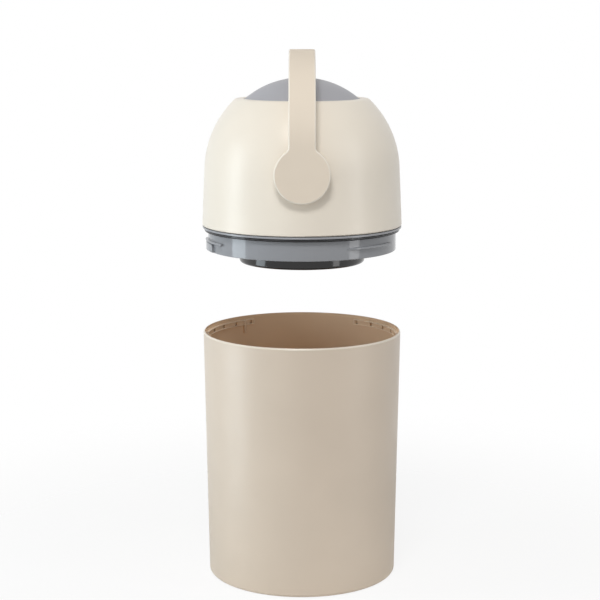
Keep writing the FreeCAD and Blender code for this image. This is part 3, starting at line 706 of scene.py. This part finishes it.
def makeBin():
    mesh = bmesh.new()
    outside, inside = binOutline(binLook)
    for faces in spinBowl(mesh, outside + inside):
        # painted highlight: the rim's slope, top and inner bevel get the paler copy of the beige
        paintFaces(faces[len(outside) - rimBands:], rimHighlightFinish)
        # painted bounce light: the inside gets the warmer copy of the beige
        paintFaces(faces[len(outside):], paintedBounceFinish)
    for azimuth in trackLook["azimuths"]:
        addTrack(mesh, trackLook, azimuth)
    rib = stopRibLook
    ribInner = binLook["radius"] - trackLook["inset"]
    ribOuter = wallRadius(rib["top"]) - binLook["wall"] / 2
    corners = [
        (ribInner, rib["foot"]),
        (ribOuter, rib["foot"]),
        (ribOuter, rib["top"]),
        (ribInner, rib["top"]),
    ]
    # the stop rib gets the painted bounce light of the inside
    addPlate(mesh, corners, rib["azimuth"], rib["width"], rib["soften"], paintedBounceFinish)
    makePiece("binMoulding", mesh, "bin", "bin", binFinishes)


makeBin()


# gasket: a rubber ring with one rib round its outside

gasketLook = {
    "neck": 1.6,
    "ribRadius": 0.75,
    "ribSteps": 8,
    "inside": 4.7,
    "clear": 0.05,  # below the collar's flange
    "footInset": 0.5,
    "footHeight": 0.5,
    "bevel": 0.3,
}


def makeGasket(look):
    bottom, outer = low("rim_gasket", 2), high("rim_gasket", 0)
    top = high("rim_gasket", 2) - look["clear"]
    middle = (outer - look["ribRadius"], (bottom + top) / 2)
    neck, foot, bevel = outer - look["neck"], outer - look["footInset"], look["bevel"]
    shoulder = outer - (look["footInset"] + bevel)
    outline = [
        (outer - look["inside"], bottom),
        (shoulder, bottom),
        (foot, bottom + bevel),
        (foot, bottom + look["footHeight"]),
        (neck, bottom + (look["footHeight"] + bevel)),
        (neck, middle[1] - look["ribRadius"]),
        *arcLine(middle, look["ribRadius"], -90, 90, look["ribSteps"]),
        (neck, middle[1] + look["ribRadius"]),
        (neck, top - bevel),
        (shoulder, top),
        (outer - look["inside"], top),
    ]
    mesh = bmesh.new()
    spinRing(mesh, outline)
    makePiece("rimGasketRing", mesh, "gasket", "rim_gasket", ("gasketGloss",))


makeGasket(gasketLook)


# collar: flange, skirt, three lugs, the stop block and the gussets

collarLook = {
    "edge": low("dome", 2),
    "foot": low("collar", 2),
    "hole": 89.2,
    "plate": 3.4,
    "flange": 134.9,
    "flangeRounds": (0.9, 0.5),  # upper and lower edge
    "flangeSteps": (5, 4),
    "shadowGap": 0.8,
    "shadowInset": 1.7,
    "skirt": 127.5,
    "skirtWall": 2.5,
    "skirtRings": (24, 16, 8),  # heights above the foot at which the skirt is divided
    "skirtRound": 0.8,
    "skirtSteps": 6,
    "cove": 0.2,  # where the skirt meets the flange
    "innerCove": 1.5,
    "innerBevel": 0.4,
    "root": 0.5,  # how deep the lugs and the stop block start inside the skirt
}
lugLook = {
    "azimuths": (46, 166, 286),
    "arc": 38.0,
    "steps": 38,
    "radius": 131.0,
    "span": (465.5, 468.5),
    "bevel": 0.6,
    "lead": 7.0,  # degrees over which the front end comes to a point
    "tip": {"height": 0.35, "reach": 0.1, "bevel": 0.3},  # shares of the full size at the point
}
stopBlockLook = {
    "azimuths": (-85, -67),
    "steps": 12,
    "top": 464.5,
    "radius": 130.5,
    "cornerRound": 3.5,
    "cornerSteps": 8,
    "bevel": 0.5,
}
gussetLook = {
    "count": 12,
    "first": 90,  # azimuth
    "width": 2.0,
    "tip": 114.0,
    "foot": 122.8,
    "drop": 14.0,
    "overlap": 1,  # into the plate and the skirt
    "soften": 0.3,
}

# the collar's grey, a paler copy on the flange as a painted highlight, and dark rubber in the gap under the
# dome as a painted shade
collarFinishes = ("collarGloss", "flangeHighlightGrey", "sealRubber")
flangeHighlightFinish, gapShadeFinish = range(1, len(collarFinishes))
gapBands = slice(0, 2)  # of the collar's cross-section, the back and floor of the gap


def collarOutline(look):
    edge, foot, skirt = look["edge"], look["foot"], look["skirt"]
    flange, plate = look["flange"], edge - look["plate"]
    flangeTop = edge - look["shadowGap"]
    shadow = flange - look["shadowInset"]
    rounded, cove, bevel = look["skirtRound"], look["cove"], look["innerBevel"]
    upper, lower = look["flangeRounds"]
    upperSteps, lowerSteps = look["flangeSteps"]
    skirtInner = skirt - look["skirtWall"]
    flangeLine = [
        (shadow, flangeTop),
        *arcLine((flange - upper, flangeTop - upper), upper, 90, 0, upperSteps),
        *arcLine((flange - lower, plate + lower), lower, 0, -90, lowerSteps),
    ]
    skirtLine = [
        (skirt + cove, plate),
        (skirt, plate - cove),
        *[(skirt, foot + height) for height in look["skirtRings"]],
        *arcLine((skirt - rounded, foot + rounded), rounded, 0, -90, look["skirtSteps"]),
        (skirtInner + bevel, foot),
        (skirtInner, foot + bevel),
        (skirtInner, plate - look["innerCove"]),
        (skirtInner - look["innerCove"], plate),
        (look["hole"], plate),
        (look["hole"], edge),
        (shadow, edge),
    ]
    return flangeLine, skirtLine


def shelfRow(azimuth, outer, bottom, top, bevel):
    # cross-section of what stands out from the skirt, bevelled along its outer edges
    root = collarLook["skirt"] - collarLook["root"]
    points = [
        (root, bottom),
        (outer - bevel, bottom),
        (outer, bottom + bevel),
        (outer, top - bevel),
        (outer - bevel, top),
        (root, top),
    ]
    return [spot(azimuth, *point) for point in points]


def lugRow(look, azimuth, share):
    # share is 1 along the lug and falls to 0 at the point of its front end
    def taper(name):
        return look["tip"][name] + (1 - look["tip"][name]) * share

    bottom, top = look["span"]
    middle = (bottom + top) / 2
    half = (top - bottom) / 2 * taper("height")
    outer = collarLook["skirt"] + (look["radius"] - collarLook["skirt"]) * taper("reach")
    return shelfRow(azimuth, outer, middle - half, middle + half, look["bevel"] * taper("bevel"))


def addLug(mesh, look, middle):
    half = look["arc"] / 2
    rows = []
    for step in range(look["steps"] + 1):
        turn = -half + look["arc"] * step / look["steps"]
        share = min(1, (turn + half) / look["lead"])
        rows.append(lugRow(look, middle + turn, math.sin(share * math.pi / 2)))
    skinRows(mesh, rows)


def addStopBlock(mesh, look):
    start, end = look["azimuths"]
    foot = collarLook["foot"] + collarLook["skirtRound"]
    outer, corner = look["radius"], look["cornerRound"]
    steps, cornerSteps = look["steps"], look["cornerSteps"]
    roundArc = math.degrees(corner / outer)
    stops = [(start + (end - roundArc - start) * k / steps, 0) for k in range(steps + 1)]
    for k in range(1, cornerSteps + 1):
        swing = math.radians(90 * k / cornerSteps)
        stops.append((end - roundArc * (1 - math.sin(swing)), corner * (1 - math.cos(swing))))
    rows = [shelfRow(turn, outer, foot, look["top"] - fall, look["bevel"]) for turn, fall in stops]
    skinRows(mesh, rows)


def addGussets(mesh, look):
    plate = collarLook["edge"] - collarLook["plate"]
    skirtInner = collarLook["skirt"] - collarLook["skirtWall"]
    corners = [
        (look["tip"], plate + look["overlap"]),
        (skirtInner + look["overlap"], plate + look["overlap"]),
        (skirtInner + look["overlap"], plate - look["drop"]),
        (look["foot"], plate - look["drop"]),
    ]
    for i in range(look["count"]):
        azimuth = look["first"] + 360 * i / look["count"]
        addPlate(mesh, corners, azimuth, look["width"], look["soften"])


def makeCollar():
    mesh = bmesh.new()
    flangeLine, skirtLine = collarOutline(collarLook)
    for faces in spinRing(mesh, flangeLine + skirtLine):
        # painted highlight on the flange
        paintFaces(faces[: len(flangeLine)], flangeHighlightFinish)
        paintFaces(faces[gapBands], gapShadeFinish)  # painted shade: the back and floor of the gap between dome and flange get dark rubber
    for azimuth in lugLook["azimuths"]:
        addLug(mesh, lugLook, azimuth)
    addStopBlock(mesh, stopBlockLook)
    addGussets(mesh, gussetLook)
    makePiece("collarMoulding", mesh, "head", "collar", collarFinishes)


makeCollar()
print("mouldings made")
